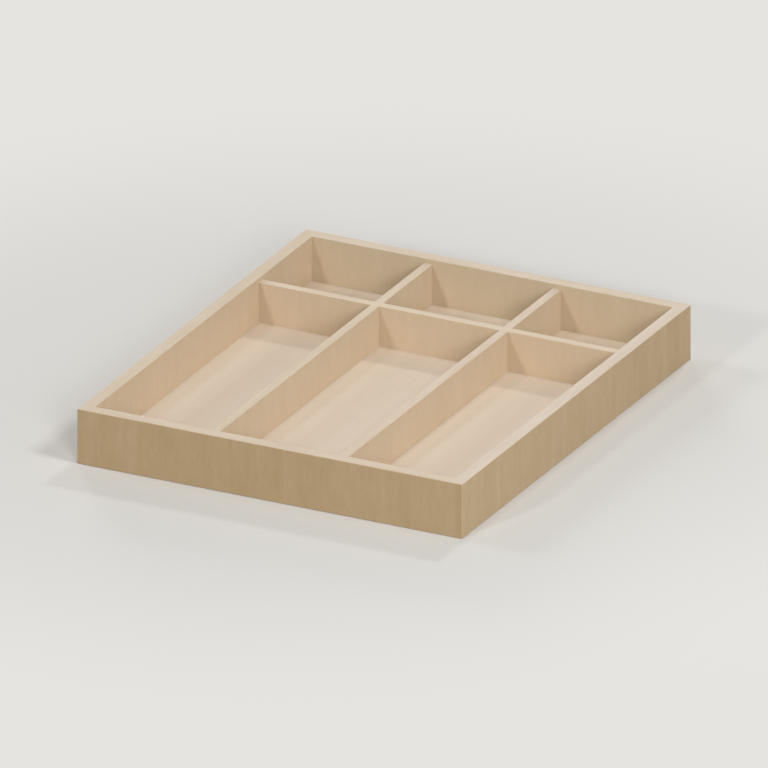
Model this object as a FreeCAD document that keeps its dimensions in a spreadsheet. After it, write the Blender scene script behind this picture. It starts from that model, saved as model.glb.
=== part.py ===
import FreeCAD, Part
import os
import Sketcher

from FreeCAD import Placement, Rotation, Vector

# A six-compartment wooden cutlery tray. Millimetres. The origin is at the middle of the tray on the
# surface that it stands on: +X to the right along the front, +Y from front to back, +Z up.
SIZES = {
    # The whole tray, outside
    "tray_width": 413.0,
    "tray_depth": 491.0,
    "tray_height": 57.0,
    # The boards
    "wall_thickness": 13.0,
    "divider_thickness": 9.0,
    "base_thickness": 4.0,
    # Where the dividers and the base lie
    "middle_width": 129.0,
    "rear_length": 105.0,
    "rim_drop": 5.0,
    "base_lift": 6.0,
    # The joints
    "glue_gap": 0.05,
    "base_groove_depth": 6.0,
    "base_edge_play": 0.5,
    "housing_depth": 4.0,
    "housing_stop": 6.0,
    "spline_thickness": 3.0,
    "spline_width": 10.0,
    "spline_setback": 6.0,
    "spline_below_rim": 10.0,
    "spline_above_base": 3.0,
    # The sharp edges taken off with abrasive paper
    "wall_arris": 0.5,
    "divider_arris": 0.3,
    # The brads through the base
    "brad_diameter": 1.4,
    "brad_length": 14.0,
    "brad_point": 0.5,
    "brad_head_diameter": 2.4,
    "brad_head_thickness": 0.8,
    "brad_end_distance": 45.0,
}
BRADS_PER_LONG_DIVIDER = 4

# Places worked out from the sizes, as expressions
INNER_WIDTH = "(sizes.tray_width - 2 * sizes.wall_thickness)"
INNER_DEPTH = "(sizes.tray_depth - 2 * sizes.wall_thickness)"
BASE_TOP = "(sizes.base_lift + sizes.base_thickness)"
DIVIDER_TOP = "(sizes.tray_height - sizes.rim_drop)"
DIVIDER_MIDDLE = f"(({BASE_TOP} + {DIVIDER_TOP}) / 2)"
HOUSING_WIDTH = "(sizes.divider_thickness + 2 * sizes.glue_gap)"
HOUSING_TOP = f"({DIVIDER_TOP} - sizes.housing_stop)"
TONGUE_TOP = f"({HOUSING_TOP} - {HOUSING_WIDTH} / 2)"
TONGUE_LENGTH = "(sizes.housing_depth - sizes.glue_gap)"
LONG_DIVIDER_X = "((sizes.middle_width + sizes.divider_thickness) / 2)"
CROSS_DIVIDER_Y = f"({INNER_DEPTH} / 2 - sizes.rear_length - sizes.divider_thickness / 2)"
SIDE_MIDDLE_X = f"(({LONG_DIVIDER_X} + sizes.divider_thickness / 2 + {INNER_WIDTH} / 2) / 2)"
SPLINE_BOTTOM = f"({BASE_TOP} + sizes.spline_above_base)"
SPLINE_TOP = "(sizes.tray_height - sizes.spline_below_rim)"
SPLINE_INSET = "(sizes.wall_thickness - sizes.spline_setback / sqrt(2))"
BRAD_HOLE_DIAMETER = "(sizes.brad_diameter + 2 * sizes.glue_gap)"
BRAD_RECESS_DIAMETER = "(sizes.brad_head_diameter + 2 * sizes.glue_gap)"
BRAD_HOLE_TOP = "(sizes.base_lift + sizes.brad_length + sizes.glue_gap)"

START, END, CENTRE = 1, 2, 3
ORIGIN_POINT = (-1, 1)
TOLERANCE = 1e-4


def make_sheet(document):
    """Put every driving size in one spreadsheet, each in a cell with its own alias."""
    sheet = document.addObject("Spreadsheet::Sheet", "sizes")
    for row, (alias, size) in enumerate(SIZES.items(), start=1):
        sheet.set(f"A{row}", alias)
        sheet.set(f"B{row}", str(size))
        sheet.setAlias(f"B{row}", alias)
    document.recompute()
    return sheet


def number(thing, expression):
    """Work out what an expression is worth now, in millimetres."""
    return FreeCAD.Units.Quantity(thing.evalExpression(expression)).Value


def origin_feature(body, role):
    """Find one of a body's own origin planes or axes."""
    return next(item for item in body.Origin.OriginFeatures if item.Role == role)


def new_body(document, name):
    """Start a piece whose label is its node name."""
    body = document.addObject("PartDesign::Body", name)
    body.Label = name
    return body


def new_sketch(body, name, plane, offset="0"):
    """Start a sketch on one of the body's origin planes, moved along the plane's normal."""
    sketch = body.newObject("Sketcher::SketchObject", f"{body.Name}_{name}")
    sketch.AttachmentSupport = [(origin_feature(body, plane), "")]
    sketch.MapMode = "FlatFace"
    sketch.setExpression("AttachmentOffset.Base.z", offset)
    return sketch


def bind_length(sketch, kind, first, second, expression):
    """Dimension one point of a sketch from another, with the distance bound to the sheet."""
    constraint = Sketcher.Constraint(kind, *first, *second, number(sketch, expression))
    index = sketch.addConstraint(constraint)
    sketch.setExpression(f"Constraints[{index}]", expression)


def bind_point(sketch, point, across, up):
    """Dimension a point both ways from the sketch's origin."""
    bind_length(sketch, "DistanceX", ORIGIN_POINT, point, across)
    bind_length(sketch, "DistanceY", ORIGIN_POINT, point, up)


def draw_outline(sketch, corners):
    """Draw a closed outline of straight lines through corners given as pairs of expressions."""
    points = [Vector(number(sketch, across), number(sketch, up), 0) for across, up in corners]
    ends = points[1:] + points[:1]
    lines = [sketch.addGeometry(Part.LineSegment(*pair), False) for pair in zip(points, ends)]
    for line, following in zip(lines, lines[1:] + lines[:1]):
        sketch.addConstraint(Sketcher.Constraint("Coincident", line, END, following, START))
    for line, (across, up) in zip(lines, corners):
        bind_point(sketch, (line, START), across, up)


def draw_rectangle(sketch, low_across, low_up, high_across, high_up):
    """Draw an upright rectangle between two corners."""
    corners = [(low_across, low_up), (high_across, low_up), (high_across, high_up), (low_across, high_up)]
    draw_outline(sketch, corners)


def draw_circles(sketch, spots, diameter):
    """Draw one circle at each spot, all of one diameter."""
    for across, up in spots:
        middle = Vector(number(sketch, across), number(sketch, up), 0)
        radius = number(sketch, diameter) / 2
        circle = sketch.addGeometry(Part.Circle(middle, Vector(0, 0, 1), radius), False)
        bind_point(sketch, (circle, CENTRE), across, up)
        index = sketch.addConstraint(Sketcher.Constraint("Diameter", circle, 2 * radius))
        sketch.setExpression(f"Constraints[{index}]", diameter)


def draw_slot(sketch, middle, bottom, top, width):
    """Draw a slot that is square at the bottom and as round at the top as the cutter that made it."""
    left, right = f"({middle} - {width} / 2)", f"({middle} + {width} / 2)"
    shoulder = f"({top} - {width} / 2)"
    low_left = Vector(number(sketch, left), number(sketch, bottom), 0)
    low_right = Vector(number(sketch, right), number(sketch, bottom), 0)
    high_left = Vector(low_left.x, number(sketch, shoulder), 0)
    high_right = Vector(low_right.x, high_left.y, 0)
    crown = Vector(number(sketch, middle), number(sketch, top), 0)
    shapes = [
        Part.LineSegment(low_left, low_right),
        Part.LineSegment(low_right, high_right),
        Part.Arc(high_right, crown, high_left),
        Part.LineSegment(high_left, low_left),
    ]
    floor, right_side, arc, left_side = [sketch.addGeometry(shape, False) for shape in shapes]
    joins = [
        ("Coincident", floor, END, right_side, START),
        ("Tangent", right_side, END, arc, START),
        ("Tangent", arc, END, left_side, START),
        ("Coincident", left_side, END, floor, START),
        ("Vertical", left_side),
    ]
    for join in joins:
        sketch.addConstraint(Sketcher.Constraint(*join))
    bind_point(sketch, (floor, START), left, bottom)
    bind_point(sketch, (floor, END), right, bottom)
    bind_length(sketch, "DistanceY", ORIGIN_POINT, (arc, CENTRE), shoulder)


def pad(body, sketch, length, both_ways=False):
    """Raise a sketch into a solid."""
    solid = body.newObject("PartDesign::Pad", f"{sketch.Name}_pad")
    solid.Profile = sketch
    solid.SideType = "Symmetric" if both_ways else "One side"
    solid.setExpression("Length", length)
    body.Document.recompute()
    return solid


def pocket(body, sketch, depth, along_normal=False, both_ways=False):
    """Cut a sketch out of a body, and make sure that wood was removed."""
    before = body.Shape.Volume
    hole = body.newObject("PartDesign::Pocket", f"{sketch.Name}_pocket")
    hole.Profile = sketch
    hole.SideType = "Symmetric" if both_ways else "One side"
    hole.Reversed = along_normal
    hole.setExpression("Length", depth)
    body.Document.recompute()
    check_cut(body, hole, before)
    return hole


def mirror(body, feature, plane):
    """Repeat a cut on the other side of one of the body's origin planes."""
    before = body.Shape.Volume
    copy = body.newObject("PartDesign::Mirrored", f"{feature.Name}_mirrored")
    copy.Originals = [feature]
    copy.MirrorPlane = (origin_feature(body, plane), [""])
    body.Tip = copy
    body.Document.recompute()
    check_cut(body, copy, before)
    return copy


def check_cut(body, feature, before):
    """Stop if a cut left the body as large as it was."""
    if not body.Shape.Volume < before - TOLERANCE:
        raise RuntimeError(f"{feature.Name} removed nothing")


def break_edges(body, size, wanted):
    """Take the sharpness off the edges that a test picks out of the body so far."""
    base = body.Tip
    names = [f"Edge{index}" for index, edge in enumerate(base.Shape.Edges, start=1) if wanted(edge)]
    arris = body.newObject("PartDesign::Chamfer", f"{body.Name}_arris")
    arris.Base = (base, names)
    arris.setExpression("Size", size)
    body.Document.recompute()
    check_cut(body, arris, base.Shape.Volume)
    return arris


def is_level_at(heights):
    """Make a test for edges that lie level at one of some heights."""

    def lies_level(edge):
        box = edge.BoundBox
        return any(abs(box.ZMin - height) < TOLERANCE and abs(box.ZMax - height) < TOLERANCE
                   for height in heights)

    return lies_level


def is_top_along(axis, height):
    """Make a test for level edges at one height that run along X or Y."""

    def runs_along(edge):
        box = edge.BoundBox
        length = {"X": box.XLength, "Y": box.YLength}
        return (abs(box.ZMin - height) < TOLERANCE and abs(box.ZMax - height) < TOLERANCE
                and abs(length[axis] - edge.Length) < TOLERANCE)

    return runs_along


def spline_corners(across, up, play):
    """Corners of a rectangle laid across the mitre at the right-hand end of a wall, in plan."""
    half_width = f"((sizes.spline_width / 2 + {play}) / sqrt(2))"
    half_thickness = f"((sizes.spline_thickness / 2 + {play}) / sqrt(2))"
    signs = [("-", "-"), ("+", "-"), ("+", "+"), ("-", "+")]
    return [
        (
            f"{across} {width_sign} {half_width} {'-' if thickness_sign == '+' else '+'} {half_thickness}",
            f"{up} {width_sign} {half_width} {thickness_sign} {half_thickness}",
        )
        for width_sign, thickness_sign in signs
    ]


def make_wall(document, name, length, span, turn, housings):
    """Make one outer board, as if at the front, and turn it to its side of the tray.

    length is the board's length, span the distance between its outer face and the face opposite,
    and housings the places along it where dividers are let in, each with True for one that is
    repeated on the other side of the middle.
    """
    body = new_body(document, name)
    outside = f"(-{span} / 2)"
    inside = f"({outside} + sizes.wall_thickness)"

    plan = new_sketch(body, "plan", "XY_Plane")
    outer_end = f"({length} / 2 - sizes.wall_arris)"
    tip = f"({length} / 2 - sizes.wall_arris / 2)"
    tip_up = f"({outside} + sizes.wall_arris / 2)"
    inner_end = f"({length} / 2 - sizes.wall_thickness)"
    half = [(outer_end, outside), (tip, tip_up), (inner_end, inside)]
    draw_outline(plan, half + [(f"-{across}", up) for across, up in reversed(half)])
    pad(body, plan, "sizes.tray_height")
    top = number(body, "sizes.tray_height")
    break_edges(body, "sizes.wall_arris", is_level_but_not_mitred([0, top]))

    groove = new_sketch(body, "base_groove", "YZ_Plane")
    draw_rectangle(groove, f"{inside} - sizes.base_groove_depth", "sizes.base_lift", inside, BASE_TOP)
    pocket(body, groove, length, both_ways=True)

    for place, repeated in housings:
        housing = new_sketch(body, "housing", "XZ_Plane", f"-{inside}")
        draw_slot(housing, place, BASE_TOP, HOUSING_TOP, HOUSING_WIDTH)
        cut = pocket(body, housing, "sizes.housing_depth", along_normal=True)
        if repeated:
            mirror(body, cut, "YZ_Plane")

    slot = new_sketch(body, "spline_slot", "XY_Plane", f"{SPLINE_TOP} + sizes.glue_gap")
    across, up = f"({length} / 2 - {SPLINE_INSET})", f"({outside} + {SPLINE_INSET})"
    draw_outline(slot, spline_corners(across, up, "sizes.glue_gap"))
    cut = pocket(body, slot, f"{SPLINE_TOP} - {SPLINE_BOTTOM} + 2 * sizes.glue_gap")
    mirror(body, cut, "YZ_Plane")

    body.Placement = Placement(Vector(0, 0, 0), Rotation(Vector(0, 0, 1), turn))
    return body


def is_level_but_not_mitred(heights):
    """Make a test for the edges of a wall that are left bare once its mitres are closed."""
    lies_level = is_level_at(heights)

    def stays_bare(edge):
        box = edge.BoundBox
        is_mitre = abs(box.XLength - box.YLength) < TOLERANCE and box.YLength > SIZES["wall_arris"]
        return lies_level(edge) and not is_mitre

    return stays_bare


def make_base(document):
    """Make the floor panel, a little smaller than the grooves that hold it."""
    body = new_body(document, "base_panel")
    tongue = "(sizes.base_groove_depth - sizes.base_edge_play)"
    half_width, half_depth = f"({INNER_WIDTH} / 2 + {tongue})", f"({INNER_DEPTH} / 2 + {tongue})"
    plan = new_sketch(body, "plan", "XY_Plane", "sizes.base_lift")
    draw_rectangle(plan, f"-{half_width}", f"-{half_depth}", half_width, half_depth)
    pad(body, plan, "sizes.base_thickness")

    holes = new_sketch(body, "brad_holes", "XY_Plane", "sizes.base_lift")
    draw_circles(holes, brad_spots(), BRAD_HOLE_DIAMETER)
    pocket(body, holes, "sizes.base_thickness", along_normal=True)
    recesses = new_sketch(body, "head_recesses", "XY_Plane", "sizes.base_lift")
    draw_circles(recesses, brad_spots(), BRAD_RECESS_DIAMETER)
    pocket(body, recesses, "sizes.brad_head_thickness", along_normal=True)
    return body


def long_brad_places():
    """Places of the brads along a long divider, evenly spaced between its two end distances."""
    first = f"(-{INNER_DEPTH} / 2 + sizes.brad_end_distance)"
    spacing = f"(({INNER_DEPTH} - 2 * sizes.brad_end_distance) / {BRADS_PER_LONG_DIVIDER - 1})"
    return [f"({first} + {index} * {spacing})" for index in range(BRADS_PER_LONG_DIVIDER)]


def cross_brad_places():
    """Places of the brads along the cross divider, one in the middle of each compartment."""
    return [f"-{SIDE_MIDDLE_X}", "0", SIDE_MIDDLE_X]


def brad_spots():
    """Places of every brad in plan."""
    spots = [(f"{side}{LONG_DIVIDER_X}", along) for side in ("-", "") for along in long_brad_places()]
    return spots + [(along, CROSS_DIVIDER_Y) for along in cross_brad_places()]


def divider_end(end, sign):
    """Outline of a divider's end from the base up: a tongue in the wall's housing, then a shoulder."""
    tongue_end = f"({end} {sign} {TONGUE_LENGTH})"
    return [(tongue_end, BASE_TOP), (tongue_end, TONGUE_TOP), (end, TONGUE_TOP), (end, DIVIDER_TOP)]


def make_long_divider(document, name, side):
    """Make a divider that runs from front to back, notched from above where the cross divider sits."""
    body = new_body(document, name)
    front, back = f"(-{INNER_DEPTH} / 2)", f"({INNER_DEPTH} / 2)"
    notch_front = f"({CROSS_DIVIDER_Y} - {HOUSING_WIDTH} / 2)"
    notch_back = f"({CROSS_DIVIDER_Y} + {HOUSING_WIDTH} / 2)"
    notch = [
        (notch_front, DIVIDER_TOP),
        (notch_front, DIVIDER_MIDDLE),
        (notch_back, DIVIDER_MIDDLE),
        (notch_back, DIVIDER_TOP),
    ]
    side_view = new_sketch(body, "side_view", "YZ_Plane")
    draw_outline(side_view, divider_end(front, "-") + notch + divider_end(back, "+")[::-1])
    pad(body, side_view, "sizes.divider_thickness", both_ways=True)
    break_edges(body, "sizes.divider_arris", is_top_along("Y", number(body, DIVIDER_TOP)))

    holes = new_sketch(body, "brad_holes", "XY_Plane", BASE_TOP)
    draw_circles(holes, [("0", along) for along in long_brad_places()], BRAD_HOLE_DIAMETER)
    pocket(body, holes, f"{BRAD_HOLE_TOP} - {BASE_TOP}", along_normal=True)
    body.setExpression("Placement.Base.x", f"{side}{LONG_DIVIDER_X}")
    return body


def make_cross_divider(document):
    """Make the divider that runs from left to right, notched from below to drop over the long ones."""
    body = new_body(document, "cross_divider")
    left, right = f"(-{INNER_WIDTH} / 2)", f"({INNER_WIDTH} / 2)"
    notches = []
    for side in ("", "-"):
        near = f"({side}{LONG_DIVIDER_X} + {HOUSING_WIDTH} / 2)"
        far = f"({side}{LONG_DIVIDER_X} - {HOUSING_WIDTH} / 2)"
        roof = f"({DIVIDER_MIDDLE} + sizes.glue_gap)"
        notches += [(near, BASE_TOP), (near, roof), (far, roof), (far, BASE_TOP)]
    front_view = new_sketch(body, "front_view", "XZ_Plane")
    draw_outline(front_view, divider_end(left, "-") + divider_end(right, "+")[::-1] + notches)
    pad(body, front_view, "sizes.divider_thickness", both_ways=True)
    break_edges(body, "sizes.divider_arris", is_top_along("X", number(body, DIVIDER_TOP)))

    holes = new_sketch(body, "brad_holes", "XY_Plane", BASE_TOP)
    draw_circles(holes, [(along, "0") for along in cross_brad_places()], BRAD_HOLE_DIAMETER)
    pocket(body, holes, f"{BRAD_HOLE_TOP} - {BASE_TOP}", along_normal=True)
    body.setExpression("Placement.Base.y", CROSS_DIVIDER_Y)
    return body


def make_spline(document, name, side_x, side_y, turn):
    """Make the loose tongue of one mitred corner, lying across the mitre."""
    body = new_body(document, name)
    plan = new_sketch(body, "plan", "XY_Plane", SPLINE_BOTTOM)
    half_width, half_thickness = "sizes.spline_width / 2", "sizes.spline_thickness / 2"
    draw_rectangle(plan, f"-{half_width}", f"-{half_thickness}", half_width, half_thickness)
    pad(body, plan, f"{SPLINE_TOP} - {SPLINE_BOTTOM}")
    body.Placement = Placement(Vector(0, 0, 0), Rotation(Vector(0, 0, 1), turn))
    body.setExpression("Placement.Base.x", f"{side_x}(sizes.tray_width / 2 - {SPLINE_INSET})")
    body.setExpression("Placement.Base.y", f"{side_y}(sizes.tray_depth / 2 - {SPLINE_INSET})")
    return body


def make_brads(document):
    """Make the brads as one group of separate solids: heads, shanks and tapered points."""
    body = new_body(document, "base_brads")
    heads = new_sketch(body, "heads", "XY_Plane", "sizes.base_lift")
    draw_circles(heads, brad_spots(), "sizes.brad_head_diameter")
    pad(body, heads, "sizes.brad_head_thickness")
    shanks = new_sketch(body, "shanks", "XY_Plane", "sizes.base_lift")
    draw_circles(shanks, brad_spots(), "sizes.brad_diameter")
    pad(body, shanks, "sizes.brad_length")
    tip = number(body, "sizes.base_lift + sizes.brad_length")
    break_edges(body, "sizes.brad_point", is_level_at([tip]))
    return body


def check_document(document, pieces):
    """Stop if any object failed to build, or if any piece has no sound shape."""
    for item in document.Objects:
        if {"Invalid", "Error"} & set(item.State):
            raise RuntimeError(f"{item.Name} failed: {item.State}")
    for piece in pieces:
        if piece.Shape.isNull() or not piece.Shape.isValid() or not piece.Shape.Solids:
            raise RuntimeError(f"{piece.Label} has no sound shape")


def build_tray():
    """Build every piece of the tray and write each one to its own file."""
    document = FreeCAD.newDocument("cutlery_tray")
    make_sheet(document)
    width, depth = "sizes.tray_width", "sizes.tray_depth"
    long_housings = [(LONG_DIVIDER_X, True)]
    pieces = [
        make_wall(document, "front_wall", width, depth, 0, long_housings),
        make_wall(document, "right_wall", depth, width, 90, [(CROSS_DIVIDER_Y, False)]),
        make_wall(document, "back_wall", width, depth, 180, long_housings),
        make_wall(document, "left_wall", depth, width, 270, [(f"-{CROSS_DIVIDER_Y}", False)]),
        make_base(document),
        make_long_divider(document, "left_long_divider", "-"),
        make_long_divider(document, "right_long_divider", ""),
        make_cross_divider(document),
        make_spline(document, "front_left_spline", "-", "-", -45),
        make_spline(document, "front_right_spline", "", "-", 45),
        make_spline(document, "back_left_spline", "-", "", 45),
        make_spline(document, "back_right_spline", "", "", -45),
        make_brads(document),
    ]
    document.recompute()
    check_document(document, pieces)

    os.makedirs("parts", exist_ok=True)
    for piece in pieces:
        piece.Shape.exportStep(f"parts/{piece.Label}.step")
        box = piece.Shape.BoundBox
        print(f"{piece.Label}: {len(piece.Shape.Solids)} solids, {piece.Shape.Volume:.1f} mm3,"
              f" x {box.XMin:.2f} to {box.XMax:.2f}, y {box.YMin:.2f} to {box.YMax:.2f},"
              f" z {box.ZMin:.2f} to {box.ZMax:.2f}")


build_tray()
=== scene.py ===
"""Looks, light and camera for a six-compartment wooden cutlery tray.

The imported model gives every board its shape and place, in metres. This script gives each one its
birch finish, puts the tray on a pale studio floor and sets the parallel view of the photograph.
"""

import logging
import math
from dataclasses import dataclass, field
from enum import Enum
from typing import Any

import bmesh
import bpy
from mathutils import Matrix, Vector


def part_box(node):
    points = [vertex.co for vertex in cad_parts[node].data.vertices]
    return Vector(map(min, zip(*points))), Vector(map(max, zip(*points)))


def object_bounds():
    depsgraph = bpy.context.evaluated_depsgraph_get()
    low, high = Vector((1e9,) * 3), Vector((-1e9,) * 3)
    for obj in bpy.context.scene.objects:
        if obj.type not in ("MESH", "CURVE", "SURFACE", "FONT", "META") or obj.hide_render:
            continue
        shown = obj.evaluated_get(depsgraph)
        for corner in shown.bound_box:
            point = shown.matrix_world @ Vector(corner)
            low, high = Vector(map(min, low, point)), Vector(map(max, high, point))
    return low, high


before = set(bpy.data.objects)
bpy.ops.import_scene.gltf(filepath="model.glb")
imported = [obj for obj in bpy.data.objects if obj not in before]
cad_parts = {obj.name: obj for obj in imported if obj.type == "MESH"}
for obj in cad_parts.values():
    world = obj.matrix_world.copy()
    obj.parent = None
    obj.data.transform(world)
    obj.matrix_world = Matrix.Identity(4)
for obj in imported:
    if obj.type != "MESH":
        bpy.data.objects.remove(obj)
CAD_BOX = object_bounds()

LOG = logging.getLogger("cutlery_tray")
MM = 0.001
# Share of the light from all round that still reaches a face in a square inner corner, where the painted corner
# shade is deepest
SQUARE_CORNER_OPENNESS = 0.5

TRAY_LOW, TRAY_HIGH = CAD_BOX
TRAY_CENTRE = (TRAY_LOW + TRAY_HIGH) / 2


class Run(Enum):
    """Which way the wood's fibres run, as a unit vector along the object's own axes."""

    UPRIGHT = (0.0, 0.0, 1.0)
    ACROSS = (1.0, 0.0, 0.0)
    FRONT_TO_BACK = (0.0, 1.0, 0.0)


def linear(colour: str) -> tuple[float, float, float, float]:
    """Turn an sRGB hex colour into the linear colour that shaders work in.

    Args:
        colour: Six hex digits after a hash sign.

    Returns:
        Red, green, blue and an alpha of one.
    """
    shares = [int(colour[start : start + 2], 16) / 255 for start in (1, 3, 5)]
    light = [share / 12.92 if share <= 0.04045 else ((share + 0.055) / 1.055) ** 2.4 for share in shares]
    return (light[0], light[1], light[2], 1.0)


def add_node(
    tree: bpy.types.NodeTree,
    kind: str,
    settings: dict[str, Any] | None = None,
    inputs: dict[str | int, Any] | None = None,
) -> bpy.types.Node:
    """Add one node to a tree, with its settings, its values and its links.

    Args:
        tree: The tree that the node goes into.
        kind: The node's type, such as ShaderNodeMath.
        settings: The node's own properties.
        inputs: A value, or the output socket to link from, for each input by name or number.

    Returns:
        The new node.
    """
    node = tree.nodes.new(kind)
    for name, value in (settings or {}).items():
        setattr(node, name, value)
    for name, value in (inputs or {}).items():
        if isinstance(value, bpy.types.NodeSocket):
            tree.links.new(value, node.inputs[name])
        else:
            node.inputs[name].default_value = value
    return node


@dataclass(frozen=True)
class GrainLayer:
    """One scale of variation in the wood, from broad growth bands down to single fibres.

    Attributes:
        across_mm: Size of the pattern across the fibres.
        along_mm: Size of the pattern along them.
        strength: How far it moves the tone, as a share of the way from pale to deep.
        detail: Octaves of finer pattern within it.
        waviness: How much the lines wander.
    """

    across_mm: float
    along_mm: float
    strength: float
    detail: float = 2.0
    waviness: float = 0.0

    def scale(self, run: Run) -> Vector:
        """Give the pattern's scale per metre along each axis for fibres that run one way."""
        return Vector([1 / (MM * (self.along_mm if way else self.across_mm)) for way in run.value])


@dataclass(frozen=True)
class Tone:
    """The two ends of the colour range of a wood surface, as sRGB hex."""

    pale: str
    deep: str


# Rotary-cut birch on the boards: soft growth bands, short blurred streaks and close, silky fibres
UPRIGHT_GRAIN = (
    GrainLayer(across_mm=26.0, along_mm=160.0, strength=0.8, detail=1.0, waviness=0.3),
    GrainLayer(across_mm=12.0, along_mm=60.0, strength=0.75, detail=1.0, waviness=0.3),
    GrainLayer(across_mm=5.5, along_mm=18.0, strength=0.75, detail=2.0, waviness=0.3),
    GrainLayer(across_mm=1.6, along_mm=8.0, strength=0.4, detail=2.0),
)
# The floor's veneer runs the whole length of the tray, so its bands are long and steady
FLOOR_GRAIN = (
    GrainLayer(across_mm=24.0, along_mm=900.0, strength=0.68, detail=1.0, waviness=0.2),
    GrainLayer(across_mm=11.0, along_mm=500.0, strength=0.34, detail=1.0, waviness=0.2),
    GrainLayer(across_mm=5.0, along_mm=100.0, strength=0.42, detail=2.0, waviness=0.2),
    GrainLayer(across_mm=1.6, along_mm=30.0, strength=0.42, detail=2.0),
)
# The rim is sanded to one smooth strip, so only fine lines along it are left
RIM_GRAIN = (
    GrainLayer(across_mm=9.0, along_mm=90.0, strength=1.2, detail=1.0),
    GrainLayer(across_mm=2.4, along_mm=34.0, strength=0.9, detail=2.0),
    GrainLayer(across_mm=1.0, along_mm=16.0, strength=0.5, detail=2.0),
)


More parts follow.
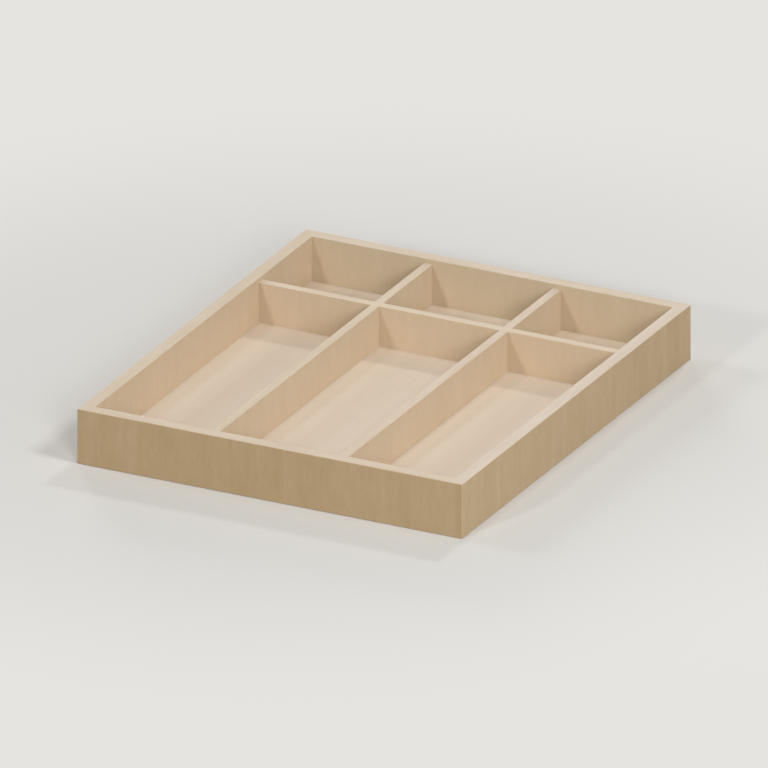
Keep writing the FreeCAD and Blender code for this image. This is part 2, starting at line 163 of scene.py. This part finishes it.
@dataclass(frozen=True)
class SandedBirch:
    """Birch sanded to 240 grit under one thin coat of matt lacquer.

    The eye gets a pale, almost shadowless wood with a silky upright figure and no shine, and its tones hold
    painted light: a darker copy of the wood for painted shade outside, a paler one for painted bounce light
    inside, a paler tone for a painted sheen on the long edges and painted shade in the inner corners.

    Attributes:
        name: The material's name.
        outside: Tone of the faces that look away from the tray, a darker, more saturated copy of the wood for
            painted shade.
        inside: Tone of the faces that look into it, a paler copy for painted bounce light.
        edge: Tone of the long edges, paler for a painted sheen.
        face_run: Which way the fibres of the faces run.
        edge_run: Which way the fibres of the edges run.
        shift_mm: How far this board's pattern is moved, so that no two boards look alike.
        face_grain: The scales of figure on the faces.
        roughness: Middle of the lacquer's roughness on the faces.
        edge_roughness: The same on the long edges, which soak up more lacquer and dry duller.
        roughness_swing: How far the roughness follows the figure.
        lacquer_ior: Refractive index of the lacquer.
        fibre_relief_mm: How far the raised fibres stand up.
        fibre_relief_share: How much of that relief the thin lacquer leaves.
        arris_mm: Height of the broken edge between a face and the long edge.
        painted_shade_reach_mm: How far the painted shade in an inner corner reaches out from it.
        painted_corner_shade: How much of the colour the painted shade takes away right in the corner.
    """

    name: str
    outside: Tone
    inside: Tone
    edge: Tone
    face_run: Run
    edge_run: Run
    shift_mm: tuple[float, float, float]
    face_grain: tuple[GrainLayer, ...] = UPRIGHT_GRAIN
    roughness: float = 0.60
    edge_roughness: float = 0.88
    roughness_swing: float = 0.10
    lacquer_ior: float = 1.50
    fibre_relief_mm: float = 0.03
    fibre_relief_share: float = 0.5
    arris_mm: float = 0.5
    # Painted shade in the inner corners, faint on the boards
    painted_shade_reach_mm: float = 6.0
    painted_corner_shade: float = 0.03

    def figure(
        self, tree: bpy.types.NodeTree, place: bpy.types.NodeSocket, layers: tuple[GrainLayer, ...], run: Run
    ) -> bpy.types.NodeSocket:
        """Build the wood's figure as a value that swings round a half.

        Args:
            tree: The material's tree.
            place: The object coordinates.
            layers: The scales of variation, broad ones first.
            run: Which way the fibres run.

        Returns:
            The socket that holds the figure.
        """
        total: Any = 0.5 - sum(layer.strength for layer in layers) / 2
        for layer in layers:
            scale = layer.scale(run)
            turned = add_node(tree, "ShaderNodeMapping", inputs={
                "Vector": place,
                "Location": Vector([MM * shift * size for shift, size in zip(self.shift_mm, scale)]),
                "Scale": scale,
            })
            noise = add_node(tree, "ShaderNodeTexNoise", inputs={
                "Vector": turned.outputs["Vector"],
                "Scale": 1.0,
                "Detail": layer.detail,
                "Distortion": layer.waviness,
            })
            total = add_node(tree, "ShaderNodeMath", {"operation": "MULTIPLY_ADD"}, {
                0: noise.outputs["Fac"],
                1: layer.strength,
                2: total,
            }).outputs["Value"]
        return total

    def coloured(
        self, tree: bpy.types.NodeTree, figure: bpy.types.NodeSocket, tone: Tone
    ) -> bpy.types.NodeSocket:
        """Colour a figure from a tone's pale end to its deep end."""
        mix = add_node(tree, "ShaderNodeMix", {"data_type": "RGBA"}, {
            "Factor": figure,
            6: linear(tone.pale),
            7: linear(tone.deep),
        })
        return mix.outputs[2]

    def shaded_in_corners(self, tree: bpy.types.NodeTree, colour: bpy.types.NodeSocket) -> bpy.types.NodeSocket:
        """Darken a colour in the inner corners, where less light from all round reaches them: painted shade.

        Args:
            tree: The material's tree.
            colour: The colour away from the corners.

        Returns:
            The socket that holds the deepened colour.
        """
        # Painted shade: an ambient occlusion node darkens the colour near inner corners
        openness = add_node(tree, "ShaderNodeAmbientOcclusion", {"samples": 8}, {
            "Distance": self.painted_shade_reach_mm * MM,
        })
        left = add_node(tree, "ShaderNodeMapRange", inputs={
            "Value": openness.outputs["AO"],
            "From Min": SQUARE_CORNER_OPENNESS,
            "To Min": 1 - self.painted_corner_shade,
        })
        deepened = add_node(tree, "ShaderNodeVectorMath", {"operation": "SCALE"}, {
            0: colour,
            "Scale": left.outputs["Result"],
        })
        return deepened.outputs["Vector"]

    def swung(
        self, tree: bpy.types.NodeTree, figure: bpy.types.NodeSocket, middle: float
    ) -> bpy.types.NodeSocket:
        """Swing the roughness a little round its middle, as the figure does."""
        spread = add_node(tree, "ShaderNodeMapRange", inputs={
            "Value": figure,
            "To Min": middle - self.roughness_swing / 2,
            "To Max": middle + self.roughness_swing / 2,
        })
        return spread.outputs["Result"]

    def edge_mask(
        self, tree: bpy.types.NodeTree, axes: bpy.types.Node, edges: tuple[float, float] | None
    ) -> bpy.types.NodeSocket | float:
        """Build a mask that is one on a board's top and bottom edges and nought on its faces."""
        if edges is None:
            return 0.0
        low, high = edges
        arris = self.arris_mm * MM
        height = add_node(tree, "ShaderNodeMath", {"operation": "SUBTRACT"}, {
            0: axes.outputs["Z"],
            1: (low + high) / 2,
        })
        reach = add_node(tree, "ShaderNodeMath", {"operation": "ABSOLUTE"}, {0: height.outputs["Value"]})
        half = (high - low) / 2
        mask = add_node(tree, "ShaderNodeMapRange", inputs={
            "Value": reach.outputs["Value"],
            "From Min": half - arris,
            "From Max": half - arris / 4,
        })
        return mask.outputs["Result"]

    def outside_mask(
        self, tree: bpy.types.NodeTree, axes: bpy.types.Node, thickness: float
    ) -> bpy.types.NodeSocket:
        """Build a mask that is one on the faces that look away from the tray."""
        reaches = []
        for axis, half in (("X", TRAY_HIGH.x), ("Y", TRAY_HIGH.y)):
            size = add_node(tree, "ShaderNodeMath", {"operation": "ABSOLUTE"}, {0: axes.outputs[axis]})
            reaches.append(add_node(tree, "ShaderNodeMath", {"operation": "GREATER_THAN"}, {
                0: size.outputs["Value"],
                1: half - thickness / 2,
            }).outputs["Value"])
        mask = add_node(tree, "ShaderNodeMath", {"operation": "MAXIMUM"}, {0: reaches[0], 1: reaches[1]})
        return mask.outputs["Value"]

    def material(self, thickness: float, edges: tuple[float, float] | None = None) -> bpy.types.Material:
        """Build the material for one board or panel.

        Args:
            thickness: The thickness of the tray's outer boards.
            edges: The heights of a board's lower and upper edges, or None for a piece that shows only faces.

        Returns:
            The finished material.
        """
        made = bpy.data.materials.new(self.name)
        made.use_nodes = True
        tree = made.node_tree
        tree.nodes.clear()
        place = add_node(tree, "ShaderNodeTexCoord").outputs["Object"]
        axes = add_node(tree, "ShaderNodeSeparateXYZ", inputs={"Vector": place})
        face = self.figure(tree, place, self.face_grain, self.face_run)
        edge = self.figure(tree, place, RIM_GRAIN, self.edge_run)
        # Painted light: the faces that look away from the tray take a darker, shaded copy of the wood, and those
        # that look in take a paler, bounce-lit copy with the painted corner shade
        faces = add_node(tree, "ShaderNodeMix", {"data_type": "RGBA"}, {
            "Factor": self.outside_mask(tree, axes, thickness),
            6: self.shaded_in_corners(tree, self.coloured(tree, face, self.inside)),
            7: self.coloured(tree, face, self.outside),
        })
        on_edge = self.edge_mask(tree, axes, edges)
        # Painted sheen: the long edges take their own paler tone
        colour = add_node(tree, "ShaderNodeMix", {"data_type": "RGBA"}, {
            "Factor": on_edge,
            6: faces.outputs[2],
            7: self.coloured(tree, edge, self.edge),
        })
        roughness = add_node(tree, "ShaderNodeMix", inputs={
            "Factor": on_edge,
            2: self.swung(tree, face, self.roughness),
            3: self.swung(tree, edge, self.edge_roughness),
        })
        relief = add_node(tree, "ShaderNodeBump", inputs={
            "Height": face,
            "Distance": self.fibre_relief_mm * MM,
            "Strength": self.fibre_relief_share,
        })
        surface = add_node(tree, "ShaderNodeBsdfPrincipled", inputs={
            "Base Color": colour.outputs[2],
            "Roughness": roughness.outputs[0],
            "IOR": self.lacquer_ior,
            "Normal": relief.outputs["Normal"],
        })
        add_node(tree, "ShaderNodeOutputMaterial", inputs={"Surface": surface.outputs["BSDF"]})
        return made


@dataclass(frozen=True)
class DrawnSteel:
    """Bright drawn wire, cut and headed: a cool grey metal with a soft shine.

    Attributes:
        name: The material's name.
        colour: The metal's colour.
        smoothest: Roughness where the wire is still as it was drawn.
        roughest: Roughness where the hammer has scuffed it.
        scratch_mm: Size of the scuffs.
    """

    name: str = "drawn_steel"
    colour: str = "#B8B6B2"
    smoothest: float = 0.24
    roughest: float = 0.44
    scratch_mm: float = 0.25

    def material(self) -> bpy.types.Material:
        """Build the material, with fine scuffs from the hammer in its gloss."""
        made = bpy.data.materials.new(self.name)
        made.use_nodes = True
        tree = made.node_tree
        tree.nodes.clear()
        place = add_node(tree, "ShaderNodeTexCoord").outputs["Object"]
        scuffs = add_node(tree, "ShaderNodeTexNoise", inputs={
            "Vector": place,
            "Scale": 1 / (self.scratch_mm * MM),
            "Detail": 3.0,
        })
        roughness = add_node(tree, "ShaderNodeMapRange", inputs={
            "Value": scuffs.outputs["Fac"],
            "To Min": self.smoothest,
            "To Max": self.roughest,
        })
        surface = add_node(tree, "ShaderNodeBsdfPrincipled", inputs={
            "Base Color": linear(self.colour),
            "Metallic": 1.0,
            "Roughness": roughness.outputs["Result"],
        })
        add_node(tree, "ShaderNodeOutputMaterial", inputs={"Surface": surface.outputs["BSDF"]})
        return made


# Lit and shaded copies of one birch, each matched to how bright that kind of face shows: the outer faces darker
# for painted shade, the inner faces paler for painted bounce light
OUTSIDE = Tone(pale="#CFB38D", deep="#C1A479")
# The right wall's outer face is paler for a painted sheen
RIGHT_OUTSIDE_LIT = Tone(pale="#DBC09B", deep="#CEB288")
INSIDE = Tone(pale="#D2BEA2", deep="#CBB599")
# The back wall's inner face is darker for painted shade
BACK_INSIDE_SHADED = Tone(pale="#CAB89D", deep="#C3B093")
DIVIDER = Tone(pale="#D2BFA4", deep="#CBB69A")
# The cross divider's faces are a little darker than the long dividers' for painted shade
CROSS_DIVIDER = Tone(pale="#CDB99F", deep="#C6B195")
FLOOR = Tone(pale="#E0D1BF", deep="#D8C7B3")


@dataclass(frozen=True)
class Board:
    """One board's own sheet of veneer, whose tones differ a little from its neighbours': partly at random,
    partly as painted sheen and painted shade.

    Attributes:
        edge_run: Which way the fibres of its long edges run.
        edge: Tone of its long edges, paler for a painted sheen.
        inside: Tone of the faces that look into the tray, a paler copy for painted bounce light.
        outside: Tone of the face that looks away from it, a darker copy for painted shade.
    """

    edge_run: Run
    edge: Tone
    inside: Tone
    outside: Tone = OUTSIDE

    def finish(self, node: str, number: int) -> SandedBirch:
        """Give the board's finish, with a piece of the figure that no other board has.

        Args:
            node: The board's name.
            number: The board's place in the row that the veneers were cut in.

        Returns:
            The finish.
        """
        return SandedBirch(
            name=f"sanded_birch_{node}",
            outside=self.outside,
            inside=self.inside,
            edge=self.edge,
            face_run=Run.UPRIGHT,
            edge_run=self.edge_run,
            shift_mm=(137.0 * number, 71.0 * number, 53.0 * number),
        )



def dress(node: str, material: bpy.types.Material) -> None:
    """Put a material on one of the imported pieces, in all its slots.

    Args:
        node: The piece's name.
        material: Its finish.
    """
    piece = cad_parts[node]
    if not piece.material_slots:
        piece.data.materials.append(material)
    for slot in piece.material_slots:
        slot.material = material
    LOG.info("%s is dressed in %s", node, material.name)


@dataclass
class OuterFrame:
    """The four mitred boards round the tray."""

    # The edge tones are paler than the faces for a painted sheen, the right wall's most of all
    boards: dict[str, Board] = field(default_factory=lambda: {
        "front_wall": Board(Run.ACROSS, Tone("#D1C1AC", "#C6B39C"), INSIDE),
        "back_wall": Board(Run.ACROSS, Tone("#D1C3AF", "#C7B59F"), BACK_INSIDE_SHADED),
        "left_wall": Board(Run.FRONT_TO_BACK, Tone("#D1C2AD", "#C7B49C"), INSIDE),
        "right_wall": Board(Run.FRONT_TO_BACK, Tone("#D4C6B6", "#CAB8A5"), INSIDE, RIGHT_OUTSIDE_LIT),
    })

    def dress(self) -> None:
        """Give each board its own piece of the veneer."""
        for number, (node, board) in enumerate(self.boards.items()):
            low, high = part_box(node)
            thickness = min(high.x - low.x, high.y - low.y)
            dress(node, board.finish(node, number).material(thickness, (low.z, high.z)))


@dataclass
class DividerGrid:
    """The two long dividers and the cross divider that is halved over them."""

    # The dividers' edge tones are paler than their faces for a painted sheen
    boards: dict[str, Board] = field(default_factory=lambda: {
        "left_long_divider": Board(Run.FRONT_TO_BACK, Tone("#D3C4AE", "#C9B69D"), DIVIDER, DIVIDER),
        "right_long_divider": Board(Run.FRONT_TO_BACK, Tone("#D4C4B1", "#CAB6A0"), DIVIDER, DIVIDER),
        "cross_divider": Board(Run.ACROSS, Tone("#D6C6B0", "#CCB89F"), CROSS_DIVIDER, CROSS_DIVIDER),
    })

    def dress(self, wall_thickness: float) -> None:
        """Give each divider its own piece of the veneer."""
        for number, (node, board) in enumerate(self.boards.items(), start=5):
            low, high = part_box(node)
            dress(node, board.finish(node, number).material(wall_thickness, (low.z, high.z)))


@dataclass
class FloorPanel:
    """The thin plywood floor in its groove, with the brads that hold the dividers down."""

    def dress(self, wall_thickness: float) -> None:
        """Lay the face veneer from front to back, and leave the brads bright."""
        finish = SandedBirch(
            name="birch_plywood_floor",
            outside=FLOOR,
            inside=FLOOR,
            edge=FLOOR,
            face_run=Run.FRONT_TO_BACK,
            edge_run=Run.FRONT_TO_BACK,
            shift_mm=(11.0, 23.0, 31.0),
            face_grain=FLOOR_GRAIN,
            roughness=0.88,
            # Painted shade: the floor darkens most at the feet of the boards
            painted_corner_shade=0.12,
        )
        dress("base_panel", finish.material(wall_thickness))
        dress("base_brads", DrawnSteel().material())


@dataclass
class CornerSplines:
    """The four loose tongues glued across the mitres, out of sight."""

    nodes: tuple[str, ...] = (
        "front_left_spline",
        "front_right_spline",
        "back_left_spline",
        "back_right_spline",
    )

    def dress(self, wall_thickness: float) -> None:
        """Leave the tongues in raw birch plywood, with the fibres across the joint."""
        finish = SandedBirch(
            name="raw_birch_plywood",
            outside=FLOOR,
            inside=FLOOR,
            edge=FLOOR,
            face_run=Run.ACROSS,
            edge_run=Run.ACROSS,
            shift_mm=(5.0, 7.0, 3.0),
            roughness=0.75,
        )
        material = finish.material(wall_thickness)
        for node in self.nodes:
            dress(node, material)


def towards(azimuth: float, elevation: float) -> Vector:
    """Give the unit vector from the tray towards a place round it.

    Args:
        azimuth: Degrees round from the front, 90 being on the right.
        elevation: Degrees above the horizon.

    Returns:
        The unit vector.
    """
    turn, lift = math.radians(azimuth), math.radians(elevation)
    return Vector((math.sin(turn) * math.cos(lift), -math.cos(turn) * math.cos(lift), math.sin(lift)))


@dataclass(frozen=True)
class Softbox:
    """One square studio lamp that looks at the tray."""

    name: str
    azimuth: float
    elevation: float
    distance: float
    side: float
    watts: float

    def place(self) -> None:
        """Hang the lamp in its place."""
        data = bpy.data.lights.new(self.name, "AREA")
        data.shape = "SQUARE"
        data.size = self.side
        data.energy = self.watts
        lamp = bpy.data.objects.new(self.name, data)
        way = towards(self.azimuth, self.elevation)
        lamp.location = TRAY_CENTRE + way * self.distance
        lamp.rotation_mode = "QUATERNION"
        lamp.rotation_quaternion = (-way).to_track_quat("-Z", "Y")
        bpy.context.scene.collection.objects.link(lamp)
        LOG.info("%s hangs at azimuth %.0f, elevation %.0f", self.name, self.azimuth, self.elevation)


def shown_to_camera(tree: bpy.types.NodeTree) -> bpy.types.NodeSocket:
    """Build a flag that is one for what the camera sees, straight on, in a gloss or through a glass."""
    path = add_node(tree, "ShaderNodeLightPath")
    flag = path.outputs["Is Camera Ray"]
    for ray in ("Is Glossy Ray", "Is Transmission Ray"):
        flag = add_node(tree, "ShaderNodeMath", {"operation": "MAXIMUM"}, {
            0: flag,
            1: path.outputs[ray],
        }).outputs["Value"]
    return flag


@dataclass
class Studio:
    """A pale floor that runs out into a backdrop of one colour, with soft neutral lamps at a plain level.

    Attributes:
        floor_side: Side of the square floor.
        floor_colour: Colour of the floor's paint where the camera sees it near the tray.
        floor_bounce: Darker colour that the floor shows to the light it would throw back up.
        backdrop_colour: Colour of the surround, and of the floor once it has run out into it.
        shadow_reach: How far from the middle of the tray the floor is all paint.
        backdrop_start: How far from there it is all backdrop.
        surround_strength: Strength of the even light from all round.
        lamps: The softboxes.
    """

    floor_side: float = 12.0
    floor_colour: str = "#D8D6D2"
    floor_bounce: str = "#4A4A49"
    backdrop_colour: str = "#E6E4E0"
    shadow_reach: float = 0.36
    backdrop_start: float = 0.80
    surround_strength: float = 0.267
    lamps: tuple[Softbox, ...] = (
        Softbox("front_left_lamp", azimuth=-12.5, elevation=25.0, distance=4.73, side=0.33, watts=47.0),
        Softbox("front_right_softbox", azimuth=36.0, elevation=22.4, distance=5.0, side=1.2, watts=88.5),
        Softbox("right_softbox", azimuth=80.0, elevation=50.0, distance=5.0, side=1.0, watts=79.0),
        Softbox("near_right_softbox", azimuth=70.0, elevation=20.0, distance=1.1, side=0.33, watts=0.72),
        Softbox("left_softbox", azimuth=-90.0, elevation=35.0, distance=5.0, side=1.0, watts=38.0),
        Softbox("back_left_softbox", azimuth=-140.0, elevation=12.0, distance=5.0, side=1.5, watts=85.0),
        Softbox("back_lamp", azimuth=180.0, elevation=46.4, distance=3.0, side=0.30, watts=16.4),
    )

    def floor_material(self) -> bpy.types.Material:
        """Build the floor's paint: matt and pale near the tray, and the backdrop's colour further out."""
        made = bpy.data.materials.new("matt_floor_paint")
        made.use_nodes = True
        tree = made.node_tree
        tree.nodes.clear()
        shown = shown_to_camera(tree)
        place = add_node(tree, "ShaderNodeTexCoord").outputs["Object"]
        reach = add_node(tree, "ShaderNodeVectorMath", {"operation": "LENGTH"}, {0: place})
        far = add_node(tree, "ShaderNodeMapRange", {"interpolation_type": "SMOOTHSTEP"}, {
            "Value": reach.outputs["Value"],
            "From Min": self.shadow_reach,
            "From Max": self.backdrop_start,
        })
        share = add_node(tree, "ShaderNodeMath", {"operation": "MULTIPLY"}, {0: far.outputs["Result"], 1: shown})
        colour = add_node(tree, "ShaderNodeMix", {"data_type": "RGBA"}, {
            "Factor": shown,
            6: linear(self.floor_bounce),
            7: linear(self.floor_colour),
        })
        paint = add_node(tree, "ShaderNodeBsdfDiffuse", inputs={"Color": colour.outputs[2]})
        backdrop = add_node(tree, "ShaderNodeEmission", inputs={"Color": linear(self.backdrop_colour)})
        surface = add_node(tree, "ShaderNodeMixShader", inputs={
            0: share.outputs["Value"],
            1: paint.outputs["BSDF"],
            2: backdrop.outputs["Emission"],
        })
        add_node(tree, "ShaderNodeOutputMaterial", inputs={"Surface": surface.outputs["Shader"]})
        return made

    def lay_floor(self) -> None:
        """Lay the floor level with the tray's lower edges."""
        mesh = bpy.data.meshes.new("studio_floor")
        shape = bmesh.new()
        bmesh.ops.create_grid(shape, x_segments=1, y_segments=1, size=self.floor_side / 2)
        bmesh.ops.translate(shape, verts=shape.verts, vec=(0.0, 0.0, TRAY_LOW.z))
        shape.to_mesh(mesh)
        shape.free()
        mesh.materials.append(self.floor_material())
        floor = bpy.data.objects.new("studio_floor", mesh)
        bpy.context.scene.collection.objects.link(floor)

    def light_surround(self) -> None:
        """Light the tray evenly from all round, with the backdrop where the camera sees past the floor."""
        world = bpy.data.worlds.new("studio_surround")
        world.use_nodes = True
        tree = world.node_tree
        tree.nodes.clear()
        glow = add_node(tree, "ShaderNodeBackground", inputs={
            "Color": linear("#FFFFFF"),
            "Strength": self.surround_strength,
        })
        backdrop = add_node(tree, "ShaderNodeBackground", inputs={"Color": linear(self.backdrop_colour)})
        surround = add_node(tree, "ShaderNodeMixShader", inputs={
            0: shown_to_camera(tree),
            1: glow.outputs["Background"],
            2: backdrop.outputs["Background"],
        })
        add_node(tree, "ShaderNodeOutputWorld", inputs={"Surface": surround.outputs["Shader"]})
        bpy.context.scene.world = world

    def build(self) -> None:
        """Set the whole studio up."""
        self.lay_floor()
        self.light_surround()
        for lamp in self.lamps:
            lamp.place()


@dataclass(frozen=True)
class ParallelView:
    """The photograph's view: a parallel one from the front and right, a little above.

    Attributes:
        azimuth: Degrees round from the front.
        elevation: Degrees above the horizon.
        picture_px: Side of the square picture, in pixels.
        px_per_mm: Scale of the picture.
        corner_px: Where the tray's lower front left corner lies in the picture, from its upper left.
        distance: How far off the camera stands, which doesn't change a parallel view.
    """

    azimuth: float = 26.565
    elevation: float = 23.160
    picture_px: float = 768.0
    px_per_mm: float = 1.0418
    corner_px: tuple[float, float] = (77.18, 463.46)
    distance: float = 2.5

    def place(self) -> None:
        """Make the camera and put it where the tray falls as it does in the photograph."""
        back = towards(self.azimuth, self.elevation)
        right = Vector((math.cos(math.radians(self.azimuth)), math.sin(math.radians(self.azimuth)), 0.0))
        up = back.cross(right)
        metres_per_px = MM / self.px_per_mm
        across = (self.picture_px / 2 - self.corner_px[0]) * metres_per_px
        above = (self.corner_px[1] - self.picture_px / 2) * metres_per_px
        aim = TRAY_LOW + right * across + up * above
        data = bpy.data.cameras.new("camera")
        data.type = "ORTHO"
        data.ortho_scale = self.picture_px * metres_per_px
        data.clip_end = 100.0
        camera = bpy.data.objects.new("camera", data)
        turned = Matrix((right, up, back)).transposed().to_4x4()
        camera.matrix_world = Matrix.Translation(aim + back * self.distance) @ turned
        bpy.context.scene.collection.objects.link(camera)
        bpy.context.scene.camera = camera


def main() -> None:
    """Dress the tray, then set up the studio and the camera."""
    logging.basicConfig(level=logging.INFO, format="%(name)s: %(message)s")
    front_low, front_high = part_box("front_wall")
    wall_thickness = front_high.y - front_low.y
    OuterFrame().dress()
    DividerGrid().dress(wall_thickness)
    FloorPanel().dress(wall_thickness)
    CornerSplines().dress(wall_thickness)
    Studio().build()
    ParallelView().place()
    bpy.context.scene.view_settings.view_transform = "Standard"


if __name__ == "__main__":
    main()
